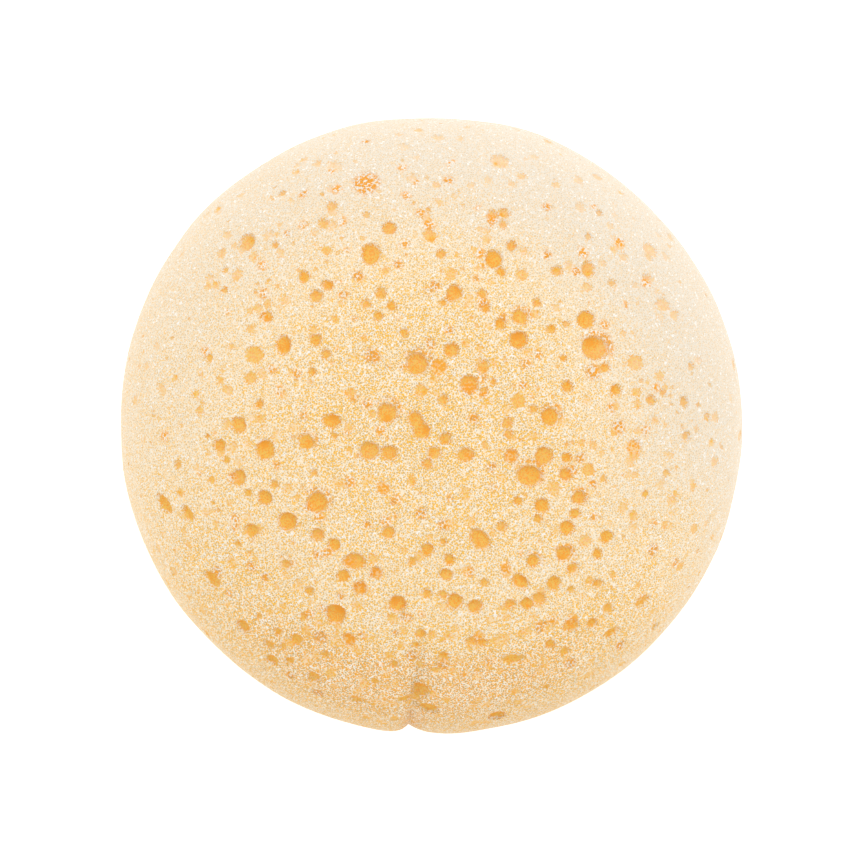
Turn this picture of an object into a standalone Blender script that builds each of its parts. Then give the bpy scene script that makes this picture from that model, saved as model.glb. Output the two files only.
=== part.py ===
"""Round bath sponge lying on its flat back.

One bun of cream open-celled foam. Its skin is broken by round voids of many sizes, and a short
crease is pressed into its edge.

Units are metres and +Z is up. The origin is the middle of the flat back. +Y is the upper edge of
the sponge as it is pictured, +X its right edge, and the crease is in the edge towards -Y.
"""
import math
import random

import bmesh
import bpy
from mathutils import Matrix, Vector

# Driving dimensions of the bun
WIDTH = 0.130
HEIGHT = 0.072
WAIST = 0.033           # height of the widest level above the flat back
BACK_REACH = 0.037      # how far a round back would reach below the waist, before it is cut flat
BLUNTNESS = 2.6         # exponent of the side curve, 2 for an ellipse and more for a squarer edge
RADIUS = WIDTH / 2

# Slow swellings of the plan outline: direction and spread in degrees, height in metres
SWELLINGS = [
    (45, 28, -0.0004),
    (90, 11, -0.0007),
    (145, 20, 0.0005),
    (228, 26, -0.0004),
    (276, 24, -0.0004),
]

# The crease: a notch in the edge with a steep left flank and a long right one
CREASE_DIRECTION = math.radians(265.6)
CREASE_LEAN = math.radians(2.2)     # how far it wanders sideways between the front and the back
CREASE_DEPTH = 0.0022
CREASE_LEFT = 0.0014
CREASE_RIGHT = 0.0034
CREASE_STARTS = 0.70    # share of the radius where it begins on the front and on the back
CREASE_FULL = 0.97      # share of the radius where it has its full depth

# Mesh of the bun
PLAN_STEP = 6           # degrees between two columns of the mesh
CREASE_COLUMNS = [-4.5, -2.4, -1.2, 0, 1.6, 3.6, 6.4]
CREASE_CLEARANCE = 9    # degrees beside the crease that only its own columns fill
FRONT_LEVELS = 11
BACK_LEVELS = 8

# Voids in the front, read by eye: column, row and radius in pixels of the 850 pixel photograph
LARGE_VOIDS = [
    (595, 349, 13.5), (586, 320, 9.5), (417, 364, 11.5), (386, 412, 10.5), (419, 422, 8),
    (420, 432, 8.5), (368, 450, 10), (389, 453, 8.5), (265, 450, 10.5), (317, 503, 11),
    (287, 522, 10), (528, 476, 12), (544, 456, 9), (354, 562, 10.5), (335, 615, 11),
    (397, 604, 9), (455, 602, 8.5), (475, 607, 8), (482, 541, 9.5), (238, 425, 8.5),
    (306, 442, 8.5), (331, 421, 9), (283, 345, 9), (254, 355, 9), (371, 254, 11),
    (247, 242, 9), (494, 259, 9.5), (500, 161, 10), (518, 340, 9.5), (520, 317, 8.5),
    (454, 293, 8.5), (469, 384, 9.5), (439, 367, 9), (451, 350, 8), (550, 417, 9.5),
    (465, 455, 8.5), (564, 555, 8.5), (520, 582, 9), (554, 584, 8), (571, 626, 8),
    (540, 507, 9), (634, 448, 8), (611, 634, 9), (641, 602, 9), (512, 660, 9.5),
    (500, 712, 10), (420, 687, 9), (427, 706, 9), (163, 503, 9), (188, 516, 8),
    (212, 578, 9), (238, 478, 8.5), (265, 498, 8), (243, 627, 8), (663, 305, 8),
    (650, 252, 8), (366, 186, 8),
]
MIDDLE_VOIDS = [
    (389, 228, 7.5), (430, 236, 7), (451, 275, 7), (323, 223, 6), (331, 206, 6),
    (304, 277, 6.5), (327, 285, 6), (316, 296, 7), (267, 317, 6), (381, 293, 6),
    (492, 215, 6), (504, 213, 6), (511, 246, 6),
    (522, 275, 7), (588, 269, 7.5), (500, 324, 6.5), (483, 367, 7.5),
    (315, 340, 6.5), (326, 354, 5.5), (350, 393, 6), (421, 391, 7), (443, 400, 6),
    (518, 401, 7.5), (507, 423, 6), (511, 456, 7), (445, 439, 6.5), (434, 453, 7),
    (427, 464, 6), (566, 458, 6), (566, 475, 7), (579, 498, 7.5), (575, 514, 6),
    (588, 470, 7), (567, 528, 8), (607, 537, 7), (597, 554, 6), (573, 569, 6.5),
    (533, 561, 7), (539, 599, 7), (527, 604, 7), (427, 550, 7), (449, 560, 6),
    (446, 575, 7), (376, 573, 6.5), (360, 589, 7), (343, 576, 7), (388, 533, 7),
    (285, 565, 6), (317, 535, 7), (334, 545, 7), (251, 531, 7.5), (219, 446, 7),
    (501, 527, 6), (383, 488, 6.5), (605, 368, 6), (567, 387, 6.5), (616, 390, 6),
    (349, 640, 7), (296, 640, 7), (272, 660, 7), (314, 677, 7), (443, 657, 6),
    (471, 642, 6), (592, 624, 6), (608, 609, 6.5), (550, 645, 6), (674, 315, 6),
    (635, 363, 7.5),
]

# How the photograph shows the sponge, seen from straight above the crown
PHOTO_CENTRE = (431.5, 425.5)
PHOTO_WIDTH = 622       # pixels across the widest level
VIEW_HEIGHT = 1.10      # height of the eye above the widest level
PIXEL = WIDTH / PHOTO_WIDTH

# Voids out of the photograph's sight, spread by chance over the edge and the back
VOID_SEED = 46
EDGE_TURNS = [14, -4, -22, -40, -57]
EDGE_VOIDS = [11, 12, 12, 11, 9]
EDGE_VOID_RADIUS = (0.0011, 0.0023)
BACK_VOIDS = 10
BACK_VOID_BAND = (0.017, 0.033)

# Shape of one void: a ball whose middle lies a little under the skin
VOID_SINK = 0.35        # depth of its middle as a share of its mouth's radius
ROUND_ENOUGH = 0.00185  # mouth radius from which a void gets the finer ball
COARSE_SWELL = 1.12     # makes up for the flat faces of the coarser ball

FOAM_COLOUR = (0.92, 0.70, 0.44, 1.0)
FOAM_ROUGHNESS = 0.92
SHARP_ANGLE = math.radians(38)
KEPT_SHARE = 0.74       # share of the cut mesh's triangles that is kept, without its slivers
BACK_SLACK = 0.0001     # what lies this close to the back's level is brought into it


def wrapped(angle):
    """The angle between -180 and 180 degrees, in radians."""
    return math.remainder(angle, math.tau)


def outline(angle):
    """Plan radius of the widest level in one direction."""
    radius = RADIUS
    for direction, spread, height in SWELLINGS:
        away = wrapped(angle - math.radians(direction)) / math.radians(spread)
        radius += height * math.exp(-away * away)
    return radius


def crease_direction(turn):
    """Direction of the crease's bottom line at one turn from the widest level."""
    return CREASE_DIRECTION + CREASE_LEAN * math.sin(2 * turn + 0.4 * math.sin(5 * turn))


def crease(angle, turn, share):
    """How far the crease pulls the skin in, at one place of it and its share of the plan radius."""
    along = wrapped(angle - crease_direction(turn)) * RADIUS
    flank = CREASE_LEFT if along < 0 else CREASE_RIGHT
    fade = min(max((share - CREASE_STARTS) / (CREASE_FULL - CREASE_STARTS), 0), 1)
    return CREASE_DEPTH * fade * math.exp(-abs(along) / flank)


def skin(angle, turn):
    """Point of the skin in one direction, turned down (-) or up (+) from the widest level."""
    share = max(math.cos(turn), 0) ** (2 / BLUNTNESS)
    rise = abs(math.sin(turn)) ** (2 / BLUNTNESS)
    if turn > 0:
        height = WAIST + (HEIGHT - WAIST) * rise
    else:
        height = max(WAIST - BACK_REACH * rise, 0)
    radius = outline(angle) * share - crease(angle, turn, share)
    return Vector((radius * math.cos(angle), radius * math.sin(angle), height))


def skin_normal(angle, turn):
    """Outward direction of the skin, from two short steps along it."""
    step = math.radians(0.5)
    along = skin(angle + step, turn) - skin(angle - step, turn)
    up = skin(angle, turn + step) - skin(angle, turn - step)
    return along.cross(up).normalized()


def columns(turn):
    """Directions of one level's mesh columns, closer together at the crease, which they follow."""
    angles = [crease_direction(turn) + math.radians(offset) for offset in CREASE_COLUMNS]
    free = 360 - 2 * CREASE_CLEARANCE
    count = round(free / PLAN_STEP)
    for index in range(count + 1):
        beside = math.radians(CREASE_CLEARANCE + free * index / count)
        angles.append(CREASE_DIRECTION + beside)
    return angles


def make_bun():
    """The plain bun as one closed mesh, from the flat back up to the crown."""
    bm = bmesh.new()
    cut = math.asin((WAIST / BACK_REACH) ** (BLUNTNESS / 2))
    turns = [-cut * (1 - step / BACK_LEVELS) for step in range(BACK_LEVELS)]
    turns += [math.pi / 2 * step / FRONT_LEVELS for step in range(FRONT_LEVELS)]
    rings = []
    for turn in turns:
        rings.append([bm.verts.new(skin(angle, turn)) for angle in columns(turn)])
    back = bm.verts.new((0, 0, 0))
    crown = bm.verts.new((0, 0, HEIGHT))
    count = len(rings[0])
    for index in range(count):
        after = (index + 1) % count
        bm.faces.new((rings[0][after], rings[0][index], back))
        for low, high in zip(rings, rings[1:]):
            bm.faces.new((low[index], low[after], high[after], high[index]))
        bm.faces.new((rings[-1][index], rings[-1][after], crown))
    mesh = bpy.data.meshes.new("sponge")
    bm.to_mesh(mesh)
    bm.free()
    return mesh


def front_void(column, row, pixels):
    """A void of the front, from where the photograph shows it: place, outward way, radius."""
    across = (column - PHOTO_CENTRE[0]) * PIXEL
    up = (PHOTO_CENTRE[1] - row) * PIXEL
    angle = math.atan2(up, across)
    nearness = 1
    for _ in range(4):
        share = min(math.hypot(across, up) * nearness / outline(angle), 0.99)
        turn = math.acos(share ** (BLUNTNESS / 2))
        place = skin(angle, turn)
        nearness = 1 - (place.z - WAIST) / VIEW_HEIGHT
    return place, skin_normal(angle, turn), pixels * PIXEL * nearness


def hidden_voids():
    """Voids of the edge and the back: place, outward way, radius."""
    chance = random.Random(VOID_SEED)
    voids = []
    for turn, count in zip(EDGE_TURNS, EDGE_VOIDS):
        for index in range(count):
            angle = math.tau * (index + chance.uniform(0.15, 0.85)) / count
            level = math.radians(turn + chance.uniform(-5, 5))
            radius = chance.uniform(*EDGE_VOID_RADIUS)
            if abs(wrapped(angle - CREASE_DIRECTION)) > math.radians(9):
                voids.append((skin(angle, level), skin_normal(angle, level), radius))
    for index in range(BACK_VOIDS):
        angle = math.tau * (index + chance.uniform(0.2, 0.8)) / BACK_VOIDS
        reach = chance.uniform(*BACK_VOID_BAND)
        place = Vector((reach * math.cos(angle), reach * math.sin(angle), 0))
        voids.append((place, Vector((0, 0, -1)), chance.uniform(*EDGE_VOID_RADIUS)))
    return voids


def make_void_balls():
    """All the voids as balls in one mesh, each turned its own way."""
    chance = random.Random(VOID_SEED + 1)
    voids = [front_void(*read) for read in LARGE_VOIDS + MIDDLE_VOIDS] + hidden_voids()
    bm = bmesh.new()
    for place, outward, mouth in voids:
        fine = mouth >= ROUND_ENOUGH
        ball = mouth * math.hypot(1, VOID_SINK)
        middle = Matrix.Translation(place - outward * mouth * VOID_SINK)
        spin = Matrix.Rotation(chance.uniform(0, math.tau), 4, "Z")
        tumble = Matrix.Rotation(chance.uniform(0, math.tau), 4, "X")
        bmesh.ops.create_icosphere(
            bm,
            subdivisions=2 if fine else 1,
            radius=ball if fine else ball * COARSE_SWELL,
            matrix=middle @ spin @ tumble,
        )
    mesh = bpy.data.meshes.new("voids")
    bm.to_mesh(mesh)
    bm.free()
    return mesh


def foam_material():
    """Cream foam, matt all over."""
    material = bpy.data.materials.new("cream_foam")
    material.use_nodes = True
    shader = material.node_tree.nodes["Principled BSDF"]
    shader.inputs["Base Color"].default_value = FOAM_COLOUR
    shader.inputs["Roughness"].default_value = FOAM_ROUGHNESS
    shader.inputs["Metallic"].default_value = 0
    return material


def cut_voids(body, cutter):
    """Cut the voids out of the body and keep the cut mesh, with crisp rims."""
    cut = body.modifiers.new("Voids", "BOOLEAN")
    cut.operation = "DIFFERENCE"
    cut.solver = "EXACT"
    cut.use_self = True
    cut.object = cutter
    thin_out = body.modifiers.new("Thin out", "DECIMATE")
    thin_out.ratio = KEPT_SHARE
    bpy.context.view_layer.update()
    evaluated = body.evaluated_get(bpy.context.evaluated_depsgraph_get())
    body.data = bpy.data.meshes.new_from_object(evaluated)
    body.data.name = "sponge"
    body.modifiers.clear()
    bpy.data.objects.remove(cutter)
    for vertex in body.data.vertices:
        if abs(vertex.co.z) < BACK_SLACK:
            vertex.co.z = 0
    body.data.shade_smooth()
    body.data.set_sharp_from_angle(angle=SHARP_ANGLE)


def make_sponge():
    """The sponge, one piece of foam."""
    mesh = make_bun()
    mesh.materials.append(foam_material())
    sponge = bpy.data.objects.new("sponge", mesh)
    cutter = bpy.data.objects.new("voids", make_void_balls())
    for made in (sponge, cutter):
        bpy.context.scene.collection.objects.link(made)
    cut_voids(sponge, cutter)


for leftover in list(bpy.data.objects):
    bpy.data.objects.remove(leftover)
make_sponge()
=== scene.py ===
import math
import random

import bpy
import numpy as np
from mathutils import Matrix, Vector, noise
from mathutils.geometry import delaunay_2d_cdt
from mathutils.kdtree import KDTree


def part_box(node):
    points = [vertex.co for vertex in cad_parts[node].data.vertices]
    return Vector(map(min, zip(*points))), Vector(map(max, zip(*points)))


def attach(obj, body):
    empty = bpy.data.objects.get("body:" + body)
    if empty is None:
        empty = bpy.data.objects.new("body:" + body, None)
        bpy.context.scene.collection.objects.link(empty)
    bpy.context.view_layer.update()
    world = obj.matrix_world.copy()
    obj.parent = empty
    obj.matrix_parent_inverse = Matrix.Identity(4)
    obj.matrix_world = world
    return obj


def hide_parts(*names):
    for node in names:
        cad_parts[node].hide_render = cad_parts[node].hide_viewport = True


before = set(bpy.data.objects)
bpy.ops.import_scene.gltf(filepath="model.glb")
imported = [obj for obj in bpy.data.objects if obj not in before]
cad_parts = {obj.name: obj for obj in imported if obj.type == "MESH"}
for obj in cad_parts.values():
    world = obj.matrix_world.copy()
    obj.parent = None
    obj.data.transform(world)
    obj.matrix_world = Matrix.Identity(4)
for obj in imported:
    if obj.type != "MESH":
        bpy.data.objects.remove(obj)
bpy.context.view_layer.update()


# The bun. One round block of cream open-celled foam, cut and rounded by a die, lies on its flat
# back. Its side is a blunt curve turned round the middle, with slow swellings of the outline and
# one crease pressed into the edge.
low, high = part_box("sponge")
RADIUS = (high[0] - low[0]) / 2
HEIGHT = high[2]
WAIST = 0.033           # height of the widest level above the flat back
BACK_REACH = 0.037      # how far a round back would reach below it, before it is cut flat
BLUNTNESS = 2.6         # exponent of the side curve, 2 for an ellipse and more for a squarer edge
# Slow swellings of the outline: direction and spread in degrees, height in metres
SWELLINGS = [
    (45, 28, -0.0004),
    (90, 11, -0.0007),
    (145, 20, 0.0005),
    (228, 26, -0.0004),
    (276, 24, -0.0004),
]
CREASE_DIRECTION = math.radians(265.5)
CREASE_LEAN = math.radians(2.2)     # how far it wanders sideways between the front and the back
CREASE_DEPTH = 0.0022
CREASE_LEFT = 0.0014                # width of its steep flank
CREASE_RIGHT = 0.0034               # and of the long one
CREASE_STARTS = 0.70                # share of the radius where it begins on the front and the back
CREASE_FULL = 0.97                  # share of the radius where it has its full depth

# A flat map of the whole skin, with the crown at 0, the widest level at 1 and the back beyond it,
# keeps small shapes true, so the holes are laid out and joined up on it. Its table runs from the
# crown to the middle of the back. A turn is the angle of the side curve: a quarter turn at the
# crown and 0 at the widest level.
BACK_EDGE_TURN = -math.asin((WAIST / BACK_REACH) ** (BLUNTNESS / 2))
BACK_EDGE_SHARE = math.cos(BACK_EDGE_TURN) ** (2 / BLUNTNESS)
POLE_GAP = 0.0004       # the table stops this short of the crown and of the back's middle
FRONT_ROWS = 1500       # rows of the table over the front
EDGE_ROWS = 500         # below the widest level
BACK_ROWS = 400         # and over the flat back
MAP_STEP = 0.003        # share of a place by which the skin's directions are felt out

table_turns = np.concatenate([
    math.pi / 2 - np.geomspace((POLE_GAP / RADIUS) ** (BLUNTNESS / 2), math.pi / 2, FRONT_ROWS),
    np.linspace(0, BACK_EDGE_TURN, EDGE_ROWS)[1:],
])
table_shares = np.maximum(np.cos(table_turns), 0) ** (2 / BLUNTNESS)
table_rises = np.abs(np.sin(table_turns)) ** (2 / BLUNTNESS)
table_heights = WAIST + table_rises * np.where(table_turns > 0, HEIGHT - WAIST, -BACK_REACH)
back_shares = np.geomspace(BACK_EDGE_SHARE, POLE_GAP / RADIUS, BACK_ROWS)[1:]
table_turns = np.append(table_turns, np.full(len(back_shares), BACK_EDGE_TURN))
table_shares = np.append(table_shares, back_shares)
table_heights = np.append(np.maximum(table_heights, 0), np.zeros(len(back_shares)))
table_steps = np.hypot(np.diff(table_shares) * RADIUS, np.diff(table_heights))
table_reaches = table_shares * RADIUS
table_logs = np.append(0, np.cumsum(table_steps * 2 / (table_reaches[1:] + table_reaches[:-1])))
table_logs -= np.interp(0, -table_turns, table_logs)


def outline(angle):
    """Radius of the widest level in a direction."""
    radius = np.full(np.shape(angle), RADIUS)
    for direction, spread, swell in SWELLINGS:
        away = np.angle(np.exp(1j * (angle - math.radians(direction)))) / math.radians(spread)
        radius = radius + swell * np.exp(-away * away)
    return radius


def crease_direction(turn):
    """Direction of the crease where the side curve has a turn."""
    return CREASE_DIRECTION + CREASE_LEAN * np.sin(turn) * np.abs(np.sin(turn))


def skin(place):
    """Points of the smooth skin at places on the map, as rows of x, y, z."""
    logs, angle = np.log(np.abs(place)), np.angle(place)
    past_poles = np.minimum(logs - table_logs[0], 0) - np.maximum(logs - table_logs[-1], 0)
    share = np.interp(logs, table_logs, table_shares) * np.exp(past_poles)
    turn = np.interp(logs, table_logs, table_turns)
    along = np.angle(np.exp(1j * (angle - crease_direction(turn)))) * RADIUS
    fade = np.clip((share - CREASE_STARTS) / (CREASE_FULL - CREASE_STARTS), 0, 1)
    flank = np.where(along < 0, CREASE_LEFT, CREASE_RIGHT)
    radius = outline(angle) * share - CREASE_DEPTH * fade * np.exp(-np.abs(along) / flank)
    height = np.interp(logs, table_logs, table_heights)
    return np.stack([radius * np.cos(angle), radius * np.sin(angle), height], axis=-1)


def skin_outward(place):
    """Unit directions straight out of the smooth skin."""
    away = skin(place * math.exp(MAP_STEP)) - skin(place * math.exp(-MAP_STEP))
    around = skin(place * np.exp(1j * MAP_STEP)) - skin(place * np.exp(-1j * MAP_STEP))
    away = away / np.linalg.norm(away, axis=-1, keepdims=True)
    around = around / np.linalg.norm(around, axis=-1, keepdims=True)
    outward = np.cross(away, around)
    return outward / np.linalg.norm(outward, axis=-1, keepdims=True)


def map_place(share, angle, back=False):
    """Place on the map at a share of the outline's radius, on the front or on the back."""
    if back and share < BACK_EDGE_SHARE:
        logs = np.interp(-share, -back_shares, table_logs[-len(back_shares):])
    else:
        turn = math.acos(share ** (BLUNTNESS / 2)) * (-1 if back else 1)
        logs = np.interp(-turn, -table_turns, table_logs)
    return complex(np.exp(logs + 1j * angle))


# The voids. Bubbles of the foam that the die has opened, from pinholes to 5.6 mm across. Each one
# is a bowl with an uneven mouth, steep on its upper side and slack on the lower one. Where thin
# cells stand open side by side, they make a lace.
PHOTO_CENTRE = (431.5, 425.5)       # column and row of the bun's middle in the photograph
PHOTO_WIDTH = 620                   # pixels across the widest level
VIEW_HEIGHT = 1.10                  # of the photograph's eye over the widest level
NEARNESS_ROUNDS = 4                 # rounds that settle how much nearer the skin is than that level
FRONT_LIMIT = 0.995                 # no place counts as further out than this share of the radius
PIXEL = 2 * RADIUS / PHOTO_WIDTH
# Voids of the front, read off: column, row and radius in pixels. The long ones have half a
# length, half a width and a direction in degrees.
LARGE_VOIDS = [
    (586, 320, 9.5), (417, 364, 11.5), (387, 413, 10.5), (421, 431, 9),
    (369, 451, 10), (389, 453, 8.5), (265, 450, 10.5), (317, 503, 11), (287, 522, 10),
    (544, 456, 9.5), (335, 615, 11), (397, 604, 9), (455, 602, 8.5),
    (475, 607, 8), (238, 425, 8.5), (306, 442, 8.5), (494, 259, 9.5), (518, 340, 9.5),
    (520, 317, 8.5), (454, 293, 8.5), (469, 384, 9.5), (451, 350, 8), (550, 417, 9.5),
    (564, 554, 8.5), (554, 584, 8), (542, 506, 8),
    (497, 716, 9),
    (238, 478, 8.5), (265, 498, 8), (243, 627, 8),
]
LONG_VOIDS = [
    (595, 348, 14.5, 12.5, -8), (354, 562, 12, 9, 0), (480, 540, 13, 9, -48),
    (331, 421, 10, 7.5, 0), (283, 345, 10, 8, 90), (371, 254, 12, 10, 90),
    (247, 242, 10, 8.5, 90), (588, 269, 9, 7, 90), (465, 455, 9.5, 7.5, 0),
    (164, 504, 13, 7, -42), (483, 367, 8.5, 6.5, 60), (212, 580, 11, 7.5, -48),
    (188, 514, 10, 6, -60),
    (356, 699, 8, 4.5, -20), (404, 701, 9, 4.5, 8), (428, 711, 11, 8, -12), (436, 671, 7, 3.5, 12),
    (416, 421, 11, 7.5, 115), (529, 476, 13.5, 11, -10), (520, 582, 10, 7.5, -40), (571, 626, 9, 7, 0),
    (611, 633, 10, 5.5, 28), (642, 602, 9.5, 5.5, 30), (512, 660, 13, 6.5, 8), (538, 519, 5, 5, 0),
    (420, 695, 11.5, 9, 80),
]
MIDDLE_VOIDS = [
    (389, 228, 7.5), (323, 223, 6), (331, 206, 6), (304, 277, 6.5), (327, 285, 6),
    (316, 296, 7), (267, 317, 6), (381, 293, 6), (378, 316, 5.5), (482, 294, 5.5),
    (485, 308, 5.5), (492, 215, 6), (504, 213, 6), (503, 224, 5), (511, 246, 6),
    (441, 254, 5.5), (391, 306, 5.5), (501, 272, 5.5), (557, 271, 6), (500, 324, 6.5),
    (315, 340, 6.5), (326, 354, 5.5), (443, 400, 6), (507, 423, 6), (511, 456, 7),
    (445, 439, 6.5), (434, 453, 7), (427, 464, 6), (566, 458, 6), (566, 475, 7),
    (579, 498, 7.5), (575, 514, 6), (567, 528, 8), (607, 537, 7), (597, 554, 6),
    (573, 569, 6.5), (533, 561, 7), (539, 599, 7), (527, 604, 7), (427, 550, 7),
    (449, 560, 6), (446, 575, 7), (376, 573, 6.5), (360, 589, 7), (343, 576, 7),
    (388, 533, 7), (285, 565, 6), (317, 535, 7), (334, 545, 7), (251, 531, 7.5),
    (219, 446, 7), (501, 527, 6), (605, 368, 6), (567, 387, 6.5), (616, 390, 6),
    (349, 640, 7), (296, 640, 7), (272, 660, 7), (314, 677, 7), (443, 657, 6),
    (471, 642, 6), (420, 634, 6), (592, 624, 6), (608, 609, 6.5), (550, 645, 6),
    (598, 584, 5.5), (651, 400, 5.5), (684, 402, 5.5), (565, 652, 6), (510, 604, 6),
    (427, 594, 5.5), (269, 645, 6),
]
SMALL_VOIDS = [
    (366, 215, 4), (443, 303, 4.5), (366, 304, 5), (537, 303, 5), (428, 209, 3),
    (612, 283, 4), (647, 278, 5), (599, 213, 4), (588, 237, 4), (312, 372, 4.5),
    (209, 358, 4.5), (259, 404, 5), (226, 460, 4), (178, 465, 5), (274, 485, 5),
    (248, 493, 4.5), (314, 473, 4), (213, 503, 3), (218, 510, 3), (207, 436, 3),
    (484, 391, 4.5), (493, 382, 4), (404, 333, 5), (334, 436, 4), (533, 409, 5),
    (518, 501, 5), (563, 358, 4), (551, 329, 5), (566, 324, 4), (663, 393, 4),
    (698, 405, 3), (707, 417, 4.5), (691, 366, 4), (686, 436, 5), (603, 479, 4),
    (645, 494, 4), (666, 473, 4.5), (309, 591, 5), (237, 544, 4), (249, 553, 3),
    (259, 617, 4), (303, 617, 4.5), (278, 632, 5), (283, 647, 4), (289, 661, 5),
    (325, 655, 4.5), (412, 562, 5), (443, 595, 5), (443, 542, 4), (484, 583, 5),
    (415, 645, 4), (483, 643, 5), (394, 665, 5), (375, 682, 5), (225, 270, 3.5),
    (282, 193, 4), (322, 194, 3), (275, 245, 4), (224, 290, 4), (268, 280, 3),
    (655, 626, 4.5), (547, 687, 4), (508, 434, 5), (571, 590, 4),
    (649, 257, 4.5), (498, 163, 5),
]
FAINT_VOIDS = [
    (254, 355, 10), (250, 378, 7), (236, 275, 7), (221, 254, 6), (635, 363, 9),
    (660, 376, 6), (500, 161, 10), (650, 250, 9), (663, 305, 8), (674, 315, 6),
    (430, 236, 7.5), (451, 275, 7), (522, 275, 7), (350, 393, 6.5), (421, 391, 7.5),
    (439, 367, 9), (518, 401, 8.5), (553, 488, 8), (588, 470, 7.5), (585, 541, 7),
    (383, 488, 7), (260, 419, 5.5), (634, 448, 8), (326, 250, 6), (267, 303, 5),
    (215, 285, 5), (296, 172, 4.5), (317, 163, 5), (522, 176, 5), (556, 185, 4.5),
    (181, 493, 5), (196, 394, 4.5), (220, 380, 4.5), (479, 349, 4.5), (485, 446, 5),
    (412, 482, 5), (465, 492, 5.5), (534, 437, 5.5), (636, 392, 5.5), (655, 420, 5),
    (712, 443, 4.5), (693, 487, 4.5), (675, 493, 4), (593, 445, 5), (507, 575, 4.5),
    (388, 656, 5), (613, 575, 4.5), (638, 585, 4.5), (184, 531, 4.5), (215, 523, 4.5),
    (160, 387, 4.5), (175, 378, 4.5), (212, 480, 4.5), (665, 525, 4.5), (341, 485, 4.5),
    (614, 250, 5), (335, 320, 4.5), (297, 497, 4), (418, 130, 5), (419, 667, 5),
    (366, 718, 5), (379, 721, 4), (475, 723, 6), (484, 723, 6), (437, 718, 4),
]
# Patches of lace, and voids with lace round the upper part of the mouth, also in pixels
LACE_PATCHES = [
    (366, 183, 14), (372, 356, 8), (492, 219, 6), (511, 456, 7), (358, 276, 5.5),
    (435, 285, 5.5), (343, 295, 4.5), (303, 194, 4), (287, 234, 3.5), (576, 271, 5),
    (547, 207, 4), (547, 255, 4), (448, 180, 4.5), (365, 142, 4), (398, 265, 4),
    (367, 404, 5), (383, 488, 7), (421, 514, 6), (444, 525, 6), (367, 525, 4),
    (473, 418, 5), (492, 468, 5), (523, 385, 4), (430, 344, 5.5), (449, 330, 4),
    (619, 427, 7), (611, 407, 4), (634, 448, 8), (580, 458, 5), (572, 470, 5),
    (593, 484, 4), (593, 372, 8), (469, 388, 8), (439, 367, 8), (251, 567, 5),
    (265, 577, 4), (217, 572, 6), (317, 555, 4.5), (340, 597, 4), (320, 637, 7), (318, 693, 6),
    (290, 675, 5), (406, 617, 6), (395, 633, 3), (362, 636, 4), (376, 573, 6),
    (360, 587, 7), (349, 640, 7), (469, 572, 5.5), (443, 666, 6), (411, 656, 6),
    (541, 627, 7), (570, 664, 6.5), (653, 550, 6), (620, 645, 6), (571, 622, 8),
    (675, 563, 4),
]
LACED_RIMS = [
    (595, 349, 13.5), (417, 364, 11.5), (386, 412, 10.5), (528, 476, 12), (285, 565, 7),
    (550, 417, 9.5), (533, 561, 7), (520, 317, 8.5), (564, 555, 8.5), (317, 503, 11),
    (306, 442, 8.5), (566, 475, 7), (579, 498, 7.5),
]
# The bowls. Depths are shares of a full bowl's, and tints are strengths of the painted colour inside.
BOWL_DEPTH = 0.6            # of a full bowl, in radii of its mouth
BOWL_BLUNTNESS = 2.5
BOWL_LEAN = 0.5             # how much blunter the upper side is, and sharper the lower one
UPPER_STRAY = 0.5           # radians by which the steep side strays from the upper one
# Waves round a mouth: how many, and how high in radii
MOUTH_WAVES = [(2, 0.09), (3, 0.07), (4, 0.05), (5, 0.04), (7, 0.03), (9, 0.02)]
LEAST_WAVE = 0.2            # share of a wave's height that every mouth has
LONG_WAVES = 0.7            # share of it that a long mouth keeps
SMALL_RADIUS = 0.0011       # larger mouths are rounder than this one
VOID_DEPTHS = (0.8, 1.1)
VOID_TINTS = (0.88, 1.04)
PALER_BELOW = 0.0016        # radius below which a void is paler
SMALL_PALER = 0.2           # by up to this
FAINT_BELOW = 0.5           # depth below which a void has a faint tint
FAINT_DEPTH = 0.3
FAINT_TINT = 0.72
FAINT_SPREAD = (0.8, 1.2)
EDGE_PAINTED_SHADE = 0.45           # painted shade under the upper edge of a mouth, turned from the lamp
EDGE_BAND = (0.3, 0.5)      # where that starts, and over what share of the mouth it grows
EDGE_LEAST = 0.3            # share of it that every void has, the rest comes low on the bun
SPOT_PAINTED_SHADE = 1.1            # more painted shade, added on one side of some voids at random
SPOT_PLACE = 0.5            # how far from the middle that side is
SPOT_SIZE = 0.45            # how far the spot reaches from there
SPOT_FULLNESS = 1.3         # its strength in the middle, cut off at 1
TINT_BAND = 0.0007         # over which a void's painted colour comes in, at the upper side
SLACK_BAND = 0.22           # wider at the lower side by this share of the radius: painted light
SLACK_DRAW = 0.06           # and further in by this share of it
# What chance spreads over the parts out of sight, and between the voids of the front
VOID_SEED = 7
FLANK_VOIDS = 220
FLANK_RADII = (0.0005, 0.0023)
FLANK_SMALLNESS = 1.7       # more than 1 makes small voids commoner than large ones
FLANK_DEPTHS = [FAINT_DEPTH, 0.9, 1.0, 1.1]
FLANK_STARTS = 0.95         # share of the radius where the photograph shows no more voids
WAIST_BAND = 0.12           # beyond the widest level on the map, with small and shallow voids only
WAIST_SIZE = 0.6
BLOTCHES = 480
BLOTCH_RADII = (0.0004, 0.0013)
BLOTCH_TINTS = (0.3, 0.7)
LOW_BLOTCHES = 0.2          # share of them on the lower flank
OUTER_BLOTCHES = 0.25       # share of them in the outer ring
LOW_BAND = (0.6, 0.95)      # shares of the radius
LOW_DIRECTION = (262, 28)   # middle and spread in degrees
OUTER_BAND = (0.6, 0.96)
BLOTCH_AREA = (0.01, 0.999)  # shares of the front's area, counted from the crown
PINHOLES = 300
PINHOLE_AREA = (0.02, 0.999)
PINHOLE_RADII = (0.00028, 0.0006)
PINHOLE_DEPTHS = (0.6, 1.1)
PINHOLE_TINT = 0.6
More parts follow.
